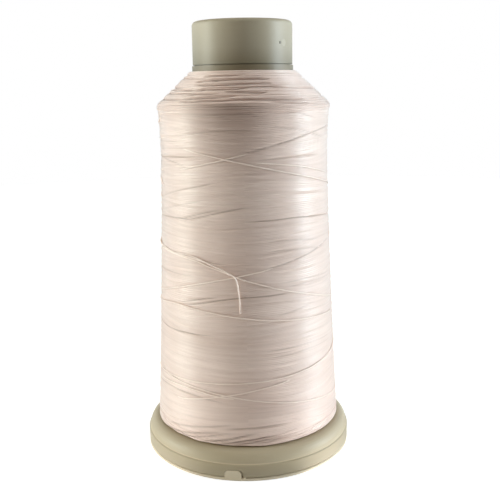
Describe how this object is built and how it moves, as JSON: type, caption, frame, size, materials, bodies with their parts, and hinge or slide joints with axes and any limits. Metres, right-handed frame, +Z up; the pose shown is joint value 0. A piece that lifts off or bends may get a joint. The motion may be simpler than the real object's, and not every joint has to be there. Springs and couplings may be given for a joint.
{
  "type": "waxed thread spool",
  "caption": "Tall moulded spool of fine stitching thread, with a wide flange, a capped barrel, crosswound thread and a snap ring that locks the thread's end.",
  "frame": {"origin": "centre of the flat ring that the spool stands on, on the spool's axis", "axes": "+Z up along the spool's axis, -Y towards the front, where the loose end of the thread and the thumb tab are, +X to the right seen from the front"},
  "size_m": [0.082, 0.082, 0.166],
  "materials": {
    "spool_plastic": "satin moulded polystyrene, warm grey",
    "lock_ring_plastic": "satin moulded polypropylene, warm grey, a shade lighter",
    "wound_thread": "fine waxed thread, pale shell pink, soft sheen",
    "loose_thread": "fine waxed thread, pale shell pink, soft sheen"
  },
  "bodies": {
    "spool": {"core_barrel": "spool_plastic", "base_flange": "spool_plastic", "top_collar": "spool_plastic", "thread_package": "wound_thread", "shoulder_turns": "wound_thread", "foot_turns": "wound_thread", "rising_pass": "loose_thread", "falling_pass": "loose_thread", "thread_tail": "loose_thread"},
    "lock_ring": {"lock_ring": "lock_ring_plastic"}
  },
  "joints": [
    {"name": "thread_lock_slide", "type": "slide", "parent": "spool", "child": "lock_ring", "axis": [0, 0, -1], "range_m": [0, 0.0024]}
  ]
}
